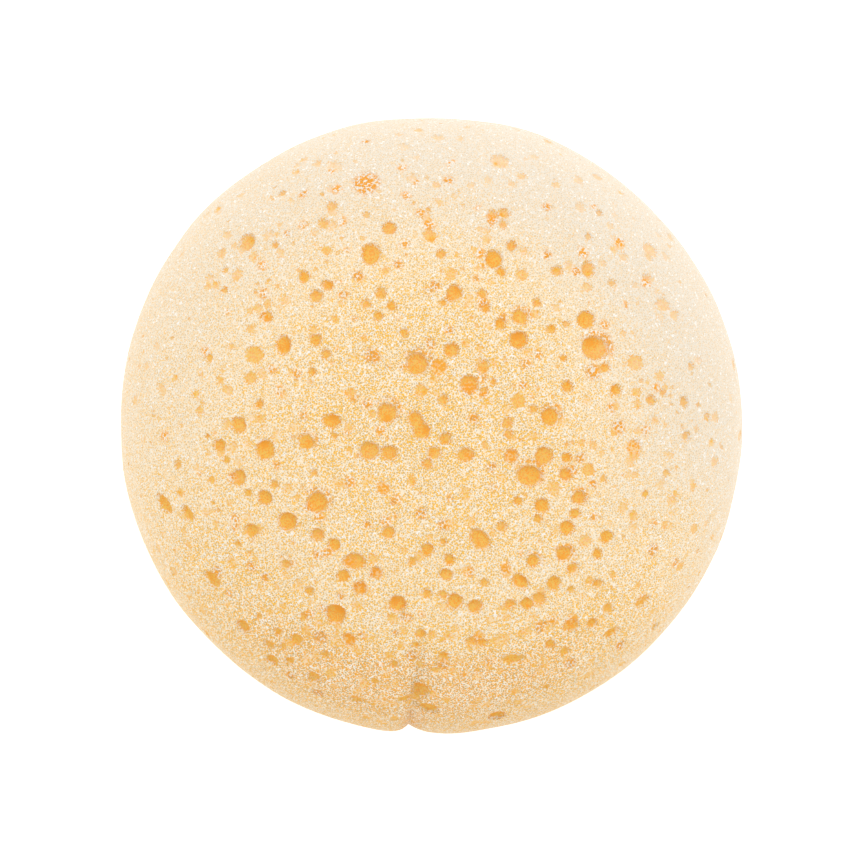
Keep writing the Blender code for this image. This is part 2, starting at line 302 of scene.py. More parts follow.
BACK_PINHOLES = 0.4         # share of them on the back
# Laces
LACE_CELL = 0.00058         # between the middles of two open cells
LACE_ROW = 0.87             # between two rows of them, in cells
LACE_STRAY = 0.16           # how far a cell strays, in cells
LACE_DENSITY = 0.85         # share of the cells that are open
LACE_RADII = (0.00019, 0.00032)
LACE_DEPTH = 0.9
LOOSE_LACES = 90
LOOSE_AREA = (0.01, 0.75)
LOOSE_RADII = (0.0005, 0.0013)
RIM_LACE_SHARE = 1.25       # how far from the middle the lace of a rim runs, in radii
RIM_LACE_FACING = 60        # direction of its middle in degrees
RIM_CELLS = 9               # open cells in it
RIM_CELLS_FROM = -20        # direction of the first, in degrees
RIM_CELL_TURN = 19          # between two of them
RIM_CELL_SHARE = 1.1        # their distance in radii of the mouth
RIM_CELL_GAPS = (1.5, 3.5)  # and the pixels that are added to it
NEIGHBOUR_GAP = 0.0004      # voids that stand nearer than this share the skin between them

chance = random.Random(VOID_SEED)
voids = []


class Void:
    """A hole whose mouth is a wavy ring round a place on the map."""

    def __init__(self, place, radius, depth=1.0, long=1.0, lean=0.0, waves=1.0):
        self.place, self.radius, self.depth, self.long, self.lean = place, radius, depth, long, lean
        waves *= SMALL_RADIUS / max(radius, SMALL_RADIUS)
        self.waves = [
            (count, size * waves * chance.uniform(LEAST_WAVE, 1), chance.uniform(0, math.tau))
            for count, size in MOUTH_WAVES
        ]
        self.reach = float(np.interp(math.log(abs(place)), table_logs, table_reaches))
        self.upper = math.pi / 2 - math.atan2(place.imag, place.real) - lean
        self.upper += chance.gauss(0, UPPER_STRAY)
        self.spot = chance.uniform(0, math.tau), chance.random() ** 3
        self.lace = False
        if depth > FAINT_BELOW:
            paler = SMALL_PALER * max(1 - radius / PALER_BELOW, 0)
            self.tint = chance.uniform(*VOID_TINTS) - paler
        else:
            self.tint = FAINT_TINT * chance.uniform(*FAINT_SPREAD)

    def wave(self, angle):
        """How far the mouth reaches in a direction, about 1."""
        return 1 + sum(size * np.cos(count * angle + start) for count, size, start in self.waves)

    def from_map(self, places):
        """How far places on the map stand from the middle, 1 at the mouth, and in what direction."""
        step = places / self.place - 1 if abs(self.place) < 1 else 1 - self.place / places
        step = step * (self.reach / self.radius) * np.exp(-1j * self.lean)
        step = step.real / self.long + 1j * step.imag
        angle = np.angle(step)
        return np.abs(step) / self.wave(angle), angle

    def offset(self, share, angle):
        """The step from the middle, in metres along the skin, at a share of the mouth."""
        step = share * self.wave(angle) * np.exp(1j * angle)
        return (step.real * self.long + 1j * step.imag) * np.exp(1j * self.lean) * self.radius

    def to_map(self, share, angle):
        """Places on the map at a share of the mouth."""
        step = self.offset(share, angle) / self.reach
        return self.place * (1 + step) if abs(self.place) < 1 else self.place / (1 - step)

    def sink(self, share, angle):
        """Depth under the skin, from 0 at the mouth to 1 in the middle."""
        blunt = BOWL_BLUNTNESS + BOWL_LEAN * np.cos(angle - self.upper)
        return np.maximum(1 - share ** blunt, 0) ** (1 / blunt)

    def mask(self, share, angle):
        """Share of the void's painted colour: half at the mouth, more inside, less where painted light
        falls.
        """
        lower = (1 - np.cos(angle - self.upper)) / 2
        band = TINT_BAND + SLACK_BAND * lower * self.radius
        return np.clip(0.5 + (1 - SLACK_DRAW * lower - share) * self.radius / band, 0, 1)

    def deepening(self, share, angle):
        """How much deeper the void's painted shade is under its upper edge and on one side."""
        low = max(-math.sin(math.atan2(self.place.imag, self.place.real)), 0) * self.reach / RADIUS
        edge = np.clip((share - EDGE_BAND[0]) / EDGE_BAND[1], 0, 1)
        edge = edge * np.clip(np.cos(angle - self.upper), 0, 1)
        direction, strength = self.spot
        away = np.abs(share * np.exp(1j * angle) - SPOT_PLACE * np.exp(1j * direction))
        spot = SPOT_PAINTED_SHADE * strength * np.clip(SPOT_FULLNESS - away / SPOT_SIZE, 0, 1)
        return 1 + EDGE_PAINTED_SHADE * edge * (EDGE_LEAST + low ** 3) + spot


def front_place(column, row):
    """Place on the map of a pixel of the photograph, and the size of a pixel there."""
    across, up = (column - PHOTO_CENTRE[0]) * PIXEL, (PHOTO_CENTRE[1] - row) * PIXEL
    angle, nearness = math.atan2(up, across), 1
    for _ in range(NEARNESS_ROUNDS):
        share = min(math.hypot(across, up) * nearness / float(outline(angle)), FRONT_LIMIT)
        height = WAIST + (HEIGHT - WAIST) * (1 - share ** BLUNTNESS) ** (1 / BLUNTNESS)
        nearness = 1 - (height - WAIST) / VIEW_HEIGHT
    return map_place(share, angle), PIXEL * nearness


def add_lace_cell(place):
    """One open cell of a lace."""
    cell = Void(place, chance.uniform(*LACE_RADII), LACE_DEPTH)
    cell.lace = True
    voids.append(cell)


def lace_over(place, spread):
    """Open cells side by side over a round patch."""
    rows = int(spread / LACE_CELL) + 1
    reach = float(np.interp(math.log(abs(place)), table_logs, table_reaches))
    for row in range(-rows, rows + 1):
        for column in range(-rows, rows + 1):
            step = complex(column + 0.5 * (row % 2), row * LACE_ROW) * LACE_CELL
            step += complex(chance.uniform(-1, 1), chance.uniform(-1, 1)) * LACE_CELL * LACE_STRAY
            if abs(step) < spread and chance.random() < LACE_DENSITY:
                add_lace_cell(place * (1 + step / reach))


for column, row, pixels in LARGE_VOIDS + MIDDLE_VOIDS + SMALL_VOIDS:
    place, pixel = front_place(column, row)
    voids.append(Void(place, pixels * pixel, chance.uniform(*VOID_DEPTHS)))
for column, row, half_length, half_width, direction in LONG_VOIDS:
    place, pixel = front_place(column, row)
    lean = math.radians(direction) - math.atan2(place.imag, place.real)
    voids.append(Void(place, half_width * pixel, 1, half_length / half_width, lean, LONG_WAVES))
for column, row, pixels in FAINT_VOIDS:
    place, pixel = front_place(column, row)
    voids.append(Void(place, pixels * pixel, FAINT_DEPTH * chance.uniform(*FAINT_SPREAD)))

table_areas = np.append(0, np.cumsum(table_steps * (table_reaches[1:] + table_reaches[:-1])))
first_area = np.interp(math.log(abs(map_place(FLANK_STARTS, 0))), table_logs, table_areas)
for _ in range(FLANK_VOIDS):
    away = float(np.interp(chance.uniform(first_area, table_areas[-1]), table_areas, table_logs))
    radius = FLANK_RADII[0] + (FLANK_RADII[1] - FLANK_RADII[0]) * chance.random() ** FLANK_SMALLNESS
    depth = chance.choice(FLANK_DEPTHS)
    if away < WAIST_BAND:
        radius, depth = WAIST_SIZE * radius, FAINT_DEPTH
    voids.append(Void(complex(np.exp(away + 1j * chance.uniform(0, math.tau))), radius, depth))
for _ in range(BLOTCHES):
    lot = chance.random()
    if lot < LOW_BLOTCHES:
        place = map_place(chance.uniform(*LOW_BAND), math.radians(chance.gauss(*LOW_DIRECTION)))
    elif lot < LOW_BLOTCHES + OUTER_BLOTCHES:
        place = map_place(chance.uniform(*OUTER_BAND), chance.uniform(0, math.tau))
    else:
        place = map_place(math.sqrt(chance.uniform(*BLOTCH_AREA)), chance.uniform(0, math.tau))
    blotch = Void(place, chance.uniform(*BLOTCH_RADII), FAINT_DEPTH)
    blotch.tint = chance.uniform(*BLOTCH_TINTS)
    voids.append(blotch)
for _ in range(PINHOLES):
    back = chance.random() < BACK_PINHOLES
    share = math.sqrt(chance.uniform(*PINHOLE_AREA))
    place = map_place(share, chance.uniform(0, math.tau), back)
    pinhole = Void(place, chance.uniform(*PINHOLE_RADII), chance.uniform(*PINHOLE_DEPTHS))
    pinhole.tint = PINHOLE_TINT
    voids.append(pinhole)

# Full patches, and rims whose lace runs at a share of the radius and faces one way
full_laces, rim_laces = [], []
for column, row, pixels in LACE_PATCHES:
    place, pixel = front_place(column, row)
    lace_over(place, pixels * pixel)
    full_laces.append(Void(place, pixels * pixel))
for _ in range(LOOSE_LACES):
    place = map_place(math.sqrt(chance.uniform(*LOOSE_AREA)), chance.uniform(0, math.tau))
    full_laces.append(Void(place, chance.uniform(*LOOSE_RADII)))
for column, row, pixels in LACED_RIMS:
    place, pixel = front_place(column, row)
    rim_laces.append(Void(place, pixels * pixel))
    for number in range(RIM_CELLS):
        angle = math.radians(RIM_CELLS_FROM + RIM_CELL_TURN * number)
        away = pixels * RIM_CELL_SHARE + chance.uniform(*RIM_CELL_GAPS)
        place, pixel = front_place(column + away * math.cos(angle), row - away * math.sin(angle))
        add_lace_cell(place)

voids.sort(key=lambda void: -void.radius)
void_points = skin(np.array([void.place for void in voids]))
void_widths = np.array([void.radius * void.long for void in voids])
neighbours = []
for number, void in enumerate(voids):
    gaps = np.linalg.norm(void_points - void_points[number], axis=1)
    gaps = gaps - void_widths - void_widths[number]
    near = np.flatnonzero(gaps < NEIGHBOUR_GAP)
    neighbours.append([int(other) for other in near if other != number])


# The skin. One closed sheet of foam: points spread evenly over the bun, rings of points down each
# void, and a line of them along the crease are joined on the flat map. Then the voids sink in,
# and the cut faces of the cells give it a fine grain.
GOLDEN_ANGLE = math.pi * (3 - math.sqrt(5))
FRONT_SPACING = 0.00076
# Turns of the side curve and the distance between even points there
SPACINGS = [
    (math.radians(90), FRONT_SPACING),
    (math.radians(28), FRONT_SPACING),
    (0, 0.0011),
    (BACK_EDGE_TURN, 0.0016),
]
SKIN_SEED = 11
STRAY = 0.2                 # how far an even point strays, in spacings
STRAY_LIMIT = 0.3           # no spacing counts as more than this share of the bun's radius there
CREASE_LATER = 0.03         # the crease's own line starts this share of the radius after it
CREASE_SPACING = 0.00036
CREASE_CLEAR = 0.0003       # without even points on both sides of the line
VOID_REACH = 1.25           # a void's points are looked for this far out, in radii,
REACH_MARGIN = 0.0006       # and this much further
RIM_BAND = 0.00022          # of even skin round a mouth
RIM_CLEAR = 0.3             # without even points round it, in spacings
RING_SPACING = 0.75         # distance between the points of a ring, in radii
TIGHTEST = 0.00024          # but no less than this
RIM_SPACING = 0.0006        # and no more than this
LEAST_POINTS = 5            # in a ring
TINY_RADIUS = 0.0007        # a smaller void has one ring inside its mouth
TINY_RING = 0.62            # and it stands here
RINGS = 1.1                 # rings for each spacing that goes into the radius
LEAST_RINGS = 2
LAST_RING = 0.93            # where the last of them stands
MOUTH_RING = 0.985          # one more just inside the mouth keeps its edge crisp
PLACE_MERGE = 1e-9          # places nearer than this on the map are one point
RING_CLEAR = 0.00012        # between a smaller void's points and the mouth of a larger one
BACK_POINTS = 8             # round the open middle of the back
BACK_RING = 1.25            # how far past the last point they stand on the map
GRAIN = 0.00001             # of the cut cells
UNEVENNESS = 0.00022        # of the whole skin, in slow waves
UNEVEN_SIZE = 0.011         # of one wave
SHARP_ANGLE = math.radians(62)
# How deep the foam's colour is, from about -1 where it is palest to 2, with painted light and shade
CROWN_TONE = 0.5           # added at the crown
MIDDLE_SPREAD = 0.45        # share of the radius over which it goes
LOW_FLANK_PAINTED_SHADE = 1.6              # painted shade, added on the lower flank, which turns from the lamp
LOW_PLACE = 0.84            # share of the radius where it is strongest
LOW_SPREAD = 0.16
LOW_GATHERS = 1.5           # more gathers it nearer the lowest direction
RIM_PAINTED_LIGHT = 1.0              # painted light, taken away towards the rim, most on the lamp's side
PALE_STARTS = 0.25          # from this share of the radius
PALE_OVER = 0.7             # and fully this much further out
PALE_DIRECTION = math.radians(55)
PALE_TURN = 0.38            # how much less is taken away square to that direction
PALE_LEVEL = 0.25           # foam paler than this, as under the painted light, has weaker tints
PALE_TINT_LOSS = 0.55           # by up to this
CREASE_PAINTED_SHADE = 0.9           # painted shade, added in the crease
# Shade where skin folds or turns under
CREASE_SHADE = 0.34
CREASE_BEFORE = 0.06        # the shade starts this share of the radius before the crease
CREASE_OVER = 0.2
CREASE_WIDER = 2.2          # how much wider it is on the long flank
LOW_SHADE = 0.42            # at the edge towards -Y, which turns away from the lamp
LOW_SHADE_STARTS = 0.86
LOW_SHADE_OVER = 0.12
HOLLOW_LIGHTER = 0.3        # how much weaker shade is in the voids
HOLLOW_SMOOTHER = 0.6       # and the grain
LACE_REACH = 1.8            # a lace's points are looked for this far out, in radii
LACE_EDGE = (1.15, 0.4)     # where a full patch of lace ends, and over what share it thins out
RIM_LACE_FULL = 1.6         # strength in the middle of a rim's lace, cut off at 1
RIM_LACE_WIDTH = 0.16
RIM_LACE_SPREAD = 0.3       # more makes it reach further round the mouth


def grown_tree(all_points):
    """A tree that finds the points near a place."""
    tree = KDTree(len(all_points))
    for index, point in enumerate(all_points):
        tree.insert(point, index)
    tree.balance()
    return tree


def near_voids(all_points):
    """Each void, and the numbers of the points that stand about it."""
    tree = grown_tree(all_points)
    for number, void in enumerate(voids):
        found = tree.find_range(void_points[number], void_widths[number] * VOID_REACH + REACH_MARGIN)
        yield void, np.array([index for _, index, _ in found], int)


# Even points, along a spiral from the crown to the middle of the back
table_spacings = np.interp(-table_turns, [-turn for turn, _ in SPACINGS], [gap for _, gap in SPACINGS])
middle = (table_reaches[1:] + table_reaches[:-1]) / 2
cell_area = (table_spacings[1:] + table_spacings[:-1]) ** 2 / 4 * math.sqrt(3) / 2
table_counts = np.append(0, np.cumsum(table_steps * math.tau * middle / cell_area))
numbers = np.arange(0.5, table_counts[-1])
logs = np.interp(numbers, table_counts, table_logs)
spread = np.random.default_rng(SKIN_SEED)
gaps = np.interp(logs, table_logs, table_spacings) / np.interp(logs, table_logs, table_reaches)
stray = spread.uniform(-STRAY, STRAY, (2, len(logs))) * np.minimum(gaps, STRAY_LIMIT)
even_places = np.exp(logs + stray[0] + 1j * (numbers * GOLDEN_ANGLE + stray[1]))

# The crease's own line of points
crease_logs = table_logs[table_shares > CREASE_STARTS + CREASE_LATER]
crease_logs = np.arange(crease_logs[0], crease_logs[-1], CREASE_SPACING / RADIUS)
crease_turns = np.interp(crease_logs, table_logs, table_turns)
crease_places = np.exp(crease_logs + 1j * crease_direction(crease_turns))
even_logs = np.log(np.abs(even_places))
even_turns = np.interp(even_logs, table_logs, table_turns)
from_crease = np.angle(even_places * np.exp(-1j * crease_direction(even_turns))) * RADIUS
in_crease = (even_logs > crease_logs[0]) & (even_logs < crease_logs[-1])
in_crease &= np.abs(from_crease) < CREASE_CLEAR
even_places = np.append(even_places[~in_crease], crease_places)

# Rings of points down the voids, in place of the even points there
kept = np.full(len(even_places), True)
for void, near in near_voids(skin(even_places)):
    share, _ = void.from_map(even_places[near])
    kept[near[share < 1 + (RIM_BAND + RIM_CLEAR * FRONT_SPACING) / void.radius]] = False
ring_places = []
for number, void in enumerate(voids):
    spacing = min(RIM_SPACING, max(void.radius * RING_SPACING, TIGHTEST))
    if void.radius < TINY_RADIUS:
        shares = [TINY_RING, 1]
    else:
        rings = max(round(RINGS * void.radius / spacing), LEAST_RINGS)
        shares = [LAST_RING * ring / rings for ring in range(1, rings + 1)] + [MOUTH_RING, 1]
    if not void.lace:
        shares.append(1 + RIM_BAND / void.radius)
    places = [np.array([void.place])]
    for share in shares:
        count = max(round(math.tau * void.radius * share / spacing), LEAST_POINTS)
        angles = chance.uniform(0, math.tau) + np.arange(count) * math.tau / count
        places.append(void.to_map(share, angles))
    places = np.concatenate(places)
    for other in neighbours[number]:
        if other < number:
            share, _ = voids[other].from_map(places)
            places = places[share > 1 + RING_CLEAR / voids[other].radius]
    ring_places.append(places)
places = np.concatenate([even_places[kept]] + ring_places)
back_turns = np.arange(BACK_POINTS) * math.tau / BACK_POINTS
places = np.append(places, np.abs(places).max() * BACK_RING * np.exp(1j * back_turns))

flat_points = [Vector((place.real, place.imag)) for place in places]
_, _, triangles, sources, _, _ = delaunay_2d_cdt(flat_points, [], [], 0, PLACE_MERGE)
places = places[np.array([source[0] for source in sources])]
triangles = [tuple(face) for face in triangles]

# How far each point sinks, and the colour that its void gives it
points = skin(places)
outward = skin_outward(places)
depths = np.zeros(len(places))
hollow = np.zeros(len(places))
tint = np.zeros(len(places))
lace = np.zeros(len(places))
sunk = points.copy()
for void, near in near_voids(points):
    share, angle = void.from_map(places[near])
    if not void.lace:
        mask = void.mask(share, angle)
        stronger = mask * void.tint > hollow[near] * tint[near]
        hollow[near[stronger]] = mask[stronger]
        tint[near[stronger]] = void.tint * void.deepening(share[stronger], angle[stronger])
    near, share, angle = near[share < 1], share[share < 1], angle[share < 1]
    sink = void.sink(share, angle)
    depth = sink * void.depth * BOWL_DEPTH * void.radius
    deeper = depth > depths[near]
    near, depth = near[deeper], depth[deeper]
    sunk[near] = points[near] - np.outer(depth, skin_outward(np.array([void.place])))
    depths[near] = depth
tree = grown_tree(points)
for patch in full_laces + rim_laces:
    centre = skin(np.array([patch.place]))[0]
    near = np.array([index for _, index, _ in tree.find_range(centre, patch.radius * LACE_REACH)], int)
    share, angle = patch.from_map(places[near])
    if patch in full_laces:
        strong = np.clip((LACE_EDGE[0] - share) / LACE_EDGE[1], 0, 1)
    else:
        turned = np.cos(angle + np.angle(patch.place) - math.radians(RIM_LACE_FACING))
        turned = np.clip(RIM_LACE_SPREAD + turned, 0, 1)
        away = np.abs(share - RIM_LACE_SHARE) / RIM_LACE_WIDTH
        strong = np.clip(RIM_LACE_FULL - away, 0, 1) * turned
    lace[near] = np.maximum(lace[near], strong)

# How deep the foam's colour is, with painted light and shade in it, and its painted shade
logs, angles = np.log(np.abs(places)), np.angle(places)
shares = np.interp(logs, table_logs, table_shares)
downward = np.clip(-np.sin(angles), 0, 1)
# Painted shade: the lower flank, which turns from the lamp, is deeper in colour
low_flank = downward ** LOW_GATHERS * np.exp(-((shares - LOW_PLACE) / LOW_SPREAD) ** 2)
tone_and_painted_light = CROWN_TONE * np.exp(-(shares / MIDDLE_SPREAD) ** 2) + LOW_FLANK_PAINTED_SHADE * low_flank
# Painted light: paler towards the rim, most on the lamp's side
rim = np.clip((shares - PALE_STARTS) / PALE_OVER, 0, 1)
lit = 1 - PALE_TURN + PALE_TURN * np.cos(angles - PALE_DIRECTION)
tone_and_painted_light -= RIM_PAINTED_LIGHT * rim * rim * (3 - 2 * rim) * lit
tint *= 1 - PALE_TINT_LOSS * np.clip(-tone_and_painted_light - PALE_LEVEL, 0, 1)
# Painted shade in the crease: deeper colour, and the shade tint
crease_angles = crease_direction(np.interp(logs, table_logs, table_turns))
along = np.angle(np.exp(1j * (angles - crease_angles))) * RADIUS
fade = np.clip((shares - CREASE_STARTS + CREASE_BEFORE) / CREASE_OVER, 0, 1)
pressed = fade * np.exp(-(np.where(along > 0, along / CREASE_WIDER, along) / CREASE_LEFT) ** 2)
tone_and_painted_light += CREASE_PAINTED_SHADE * pressed
low_edge = downward ** 2 * np.clip((shares - LOW_SHADE_STARTS) / LOW_SHADE_OVER, 0, 1)
shade = np.maximum(CREASE_SHADE * pressed, LOW_SHADE * low_edge) * (1 - HOLLOW_LIGHTER * hollow)

grain = spread.normal(0, GRAIN, len(places)) * (1 - HOLLOW_SMOOTHER * hollow)
uneven = np.array([noise.noise(Vector(point) / UNEVEN_SIZE) for point in points]) * UNEVENNESS
points = sunk + outward * (grain + uneven)[:, None]
points[:, 2] = np.maximum(points[:, 2], 0)

# The map leaves the very middle of the back open. A fan of faces closes it.
back_ring = np.argsort(-np.abs(places))[:BACK_POINTS]
back_ring = back_ring[np.argsort(np.angle(places[back_ring]))]
points[back_ring, 2] = 0
points = np.vstack([points, [0, 0, 0]])
for number in range(BACK_POINTS):
    triangles.append((int(back_ring[number]), int(back_ring[number - 1]), len(points) - 1))

skin_mesh = bpy.data.meshes.new("sponge_skin")
skin_mesh.from_pydata(points.tolist(), [], triangles)
skin_values = {"hollow": hollow, "tint": tint, "lace": lace, "tone_and_painted_light": tone_and_painted_light, "shade": shade}
for name, values in skin_values.items():
    layer = skin_mesh.attributes.new(name, "FLOAT", "POINT")
    layer.data.foreach_set("value", np.append(values, 0).astype(np.float32))
skin_mesh.shade_smooth()
skin_mesh.set_sharp_from_angle(angle=SHARP_ANGLE)
sponge = bpy.data.objects.new("sponge_skin", skin_mesh)
bpy.context.collection.objects.link(sponge)

# The finish. Matt foam: cream walls between open cells with honey inside, amber painted in the voids
# for their shade, and a painted highlight on torn bits of wall that catch the light. The deeper the
# foam's colour, with its painted light and shade, the more its cells open.
CREAM = (0.985, 0.85, 0.645, 1)         # faces of the walls between cells
MILK = (0.86, 0.785, 0.672, 1)          # the same where painted light pales the rim
BISCUIT = (0.985, 0.84, 0.63, 1)        # the same where the colour is deepest, with painted shade
HONEY = (0.99, 0.54, 0.06, 1)           # the inside of an open cell
SYRUP = (0.93, 0.42, 0.03, 1)           # the same in the painted shade of the lower flank
WHITE_WALL_AND_GLINT = (1.0, 0.95, 0.88, 1)            # painted highlight of torn walls, and pale lace walls
AMBER = (0.92, 0.56, 0.11, 1)           # the smooth wall of a void, painted deeper for its shade
RUST = (0.95, 0.38, 0.05, 1)            # the open cells in that wall
FAWN = (0.57, 0.41, 0.20, 1)            # the finest pits of the skin
UMBER = (0.95, 0.40, 0.04, 1)           # the inside of a lace cell, and the deepest painted shade
SHADE_TINT = (0.66, 0.55, 0.40, 1)            # painted shade low on the side and in the crease
SKIN_CELL = 0.00037                     # sizes in metres
HOLLOW_CELL = 0.00034
LACE_PORE = 0.00055
PIT = 0.00046
CELL_MOUTHS = (0.5, 0.78)               # least and most that a cell opens, in cells
CELL_STRENGTHS = (0.52, 0.8)            # and how strong the colour inside is
CELL_EDGE = 0.5                         # share of the mouth from which its colour fades out
TORN_GLINT_CELLS = (0.94, 0.97)               # chance above which a cell's torn walls get a painted highlight
PATCH_SCALE = 230                       # slow patches of tighter and opener foam, per metre
PATCH_DETAIL = 3
PATCH_BAND = (0.35, 0.68)
PATCH_STRENGTHS = (0.85, 1.2)           # of the cells in the tightest and the openest of them
TONE_BAND = (-1.3, 1.2)                 # foam colour over which the cells grow stronger
TONE_STRENGTHS = (0.25, 2.05)           # from and to
SYRUP_BAND = (0.4, 1.3)                 # foam colour over which honey turns into syrup
RUST_BAND = (0.1, 0.7)                  # openness of a cell over which amber turns into rust
RAGGED_CELLS = 0.7                      # how ragged open cells make a void's edge
RAGGED_BAND = (0.5, 0.95)               # where the void's own colour starts and is full
DEEP_TINT = (1.0, 1.6)                 # tints at which a void's painted shade turns deepest
DEEP_STRENGTH = 0.8
HOLLOW_BARE = 0.7                       # how far pits and lace walls stay out of the voids
LACE_WALL = (0.06, 0, 0.5)              # where a lace's walls start and are full, and how strong
LACE_OPEN = (0.02, 0.3)                 # where a pore's colour starts and is full
PIT_EDGE = (0.1, 0.28, 0.7)             # where a pit starts and is full, and how strong it is
PIT_TONE = 0.42                         # stronger by this where the foam's colour is deep
PIT_PLAIN = 0.88
ROUGHNESS = 0.9
SHINE = 0.2
SHEEN = (0.12, 0.4)                     # weight and roughness
RELIEF_STRENGTH = 0.2
RELIEF_DEPTH = 0.00015


def math_node(tree, operation, first, second=None, third=None, clamp=False):
    """One sum on values, each a number or another node's output."""
    node = tree.nodes.new("ShaderNodeMath")
    node.operation, node.use_clamp = operation, clamp
    for socket, value in zip(node.inputs, (first, second, third)):
        if isinstance(value, (int, float)):
            socket.default_value = value
        elif value is not None:
            tree.links.new(value, socket)
    return node.outputs[0]


def range_node(tree, value, start, end, to_start=0.0, to_end=1.0):
    """A smooth step from one value to another while the input goes from start to end."""
    node = tree.nodes.new("ShaderNodeMapRange")
    node.interpolation_type = "SMOOTHSTEP"
    tree.links.new(value, node.inputs["Value"])
    ends = {"From Min": start, "From Max": end, "To Min": to_start, "To Max": to_end}
    for name, number in ends.items():
        node.inputs[name].default_value = number
    return node.outputs["Result"]


def blend_node(tree, factor, first, second, blend="MIX"):
    """A mix of two colours, each plain or another node's output."""
    node = tree.nodes.new("ShaderNodeMix")
    node.data_type = "RGBA"
    node.blend_type = blend
    for name, value in zip(("Factor", "A", "B"), (factor, first, second)):
        socket = next(socket for socket in node.inputs if socket.name == name and socket.enabled)
        if isinstance(value, (int, float, tuple)):
            socket.default_value = value
        else:
            tree.links.new(value, socket)
    return next(socket for socket in node.outputs if socket.enabled)


# Open cells of the foam, of one size: how open each is, which torn walls have a painted highlight, and
# their relief
cells = bpy.data.node_groups.new("foam cells", "ShaderNodeTree")
cells.interface.new_socket("Cell", in_out="INPUT", socket_type="NodeSocketFloat")
for name in ("Open", "Torn glint", "Height"):
    cells.interface.new_socket(name, in_out="OUTPUT", socket_type="NodeSocketFloat")
cells_in = cells.nodes.new("NodeGroupInput")
cells_out = cells.nodes.new("NodeGroupOutput")
where = cells.nodes.new("ShaderNodeTexCoord")
scale = cells.nodes.new("ShaderNodeVectorMath")
scale.operation = "SCALE"
cells.links.new(where.outputs["Object"], scale.inputs[0])
cells.links.new(math_node(cells, "DIVIDE", 1.0, cells_in.outputs["Cell"]), scale.inputs["Scale"])
bubble = cells.nodes.new("ShaderNodeTexVoronoi")
bubble.inputs["Scale"].default_value = 1
cells.links.new(scale.outputs["Vector"], bubble.inputs["Vector"])
lot = cells.nodes.new("ShaderNodeSeparateColor")
cells.links.new(bubble.outputs["Color"], lot.inputs["Color"])
mouth = range_node(cells, lot.outputs["Red"], 0, 1, *CELL_MOUTHS)
share = math_node(cells, "DIVIDE", bubble.outputs["Distance"], mouth)
inside = range_node(cells, share, CELL_EDGE, 1, 1, 0)
cell_strength = range_node(cells, lot.outputs["Green"], 0, 1, *CELL_STRENGTHS)
open_cell = math_node(cells, "MULTIPLY", inside, cell_strength)
cells.links.new(open_cell, cells_out.inputs["Open"])
cells.links.new(range_node(cells, lot.outputs["Blue"], *TORN_GLINT_CELLS), cells_out.inputs["Torn glint"])
cells.links.new(math_node(cells, "MULTIPLY", inside, -1.0), cells_out.inputs["Height"])

foam = bpy.data.materials.new("cream foam")
foam.use_nodes = True
tree = foam.node_tree
finish = tree.nodes["Principled BSDF"]
finish.inputs["Roughness"].default_value = ROUGHNESS
finish.inputs["Specular IOR Level"].default_value = SHINE
finish.inputs["Sheen Weight"].default_value, finish.inputs["Sheen Roughness"].default_value = SHEEN
cell_nodes = []
for size in (SKIN_CELL, HOLLOW_CELL, LACE_PORE):
    node = tree.nodes.new("ShaderNodeGroup")
    node.node_tree = cells
    node.inputs["Cell"].default_value = size
    cell_nodes.append(node)
skin_cells, hollow_cells, lace_pores = cell_nodes
pits = tree.nodes.new("ShaderNodeTexVoronoi")
pits.feature = "DISTANCE_TO_EDGE"
pits.inputs["Scale"].default_value = 1 / PIT
patches = tree.nodes.new("ShaderNodeTexNoise")
patches.inputs["Scale"].default_value = PATCH_SCALE
patches.inputs["Detail"].default_value = PATCH_DETAIL
where = tree.nodes.new("ShaderNodeTexCoord")
tree.links.new(where.outputs["Object"], patches.inputs["Vector"])
tree.links.new(where.outputs["Object"], pits.inputs["Vector"])
attributes = {}
for name in skin_values:
    node = tree.nodes.new("ShaderNodeAttribute")
    node.attribute_name = name
    attributes[name] = node.outputs["Fac"]

# The skin: walls, and the open cells between them
strength = range_node(tree, patches.outputs["Fac"], *PATCH_BAND, *PATCH_STRENGTHS)
toned = range_node(tree, attributes["tone_and_painted_light"], *TONE_BAND, *TONE_STRENGTHS)
strength = math_node(tree, "MULTIPLY", strength, toned)
skin_open = math_node(tree, "MULTIPLY", skin_cells.outputs["Open"], strength, clamp=True)
# The walls follow the tone: its painted shade deepens them and its painted light pales them
wall = blend_node(tree, range_node(tree, attributes["tone_and_painted_light"], 0, 1), CREAM, BISCUIT)
wall = blend_node(tree, range_node(tree, attributes["tone_and_painted_light"], -1, 0, 1, 0), wall, MILK)
cell_colour = blend_node(tree, range_node(tree, attributes["tone_and_painted_light"], *SYRUP_BAND), HONEY, SYRUP)
skin_colour = blend_node(tree, skin_open, wall, cell_colour)
# Painted highlights on the torn walls
skin_colour = blend_node(tree, skin_cells.outputs["Torn glint"], skin_colour, WHITE_WALL_AND_GLINT)

# The voids, painted deeper for their shade, with edges that open cells make ragged
rusty = range_node(tree, hollow_cells.outputs["Open"], *RUST_BAND)
hollow_colour = blend_node(tree, rusty, AMBER, RUST)
deep = range_node(tree, attributes["tint"], *DEEP_TINT, 0, DEEP_STRENGTH)
hollow_colour = blend_node(tree, deep, hollow_colour, UMBER)
ragged = math_node(tree, "MULTIPLY_ADD", skin_cells.outputs["Open"], RAGGED_CELLS, attributes["hollow"])
ragged = range_node(tree, ragged, *RAGGED_BAND)
ragged = math_node(tree, "MULTIPLY", ragged, attributes["tint"], clamp=True)
foam_colour = blend_node(tree, ragged, skin_colour, hollow_colour)

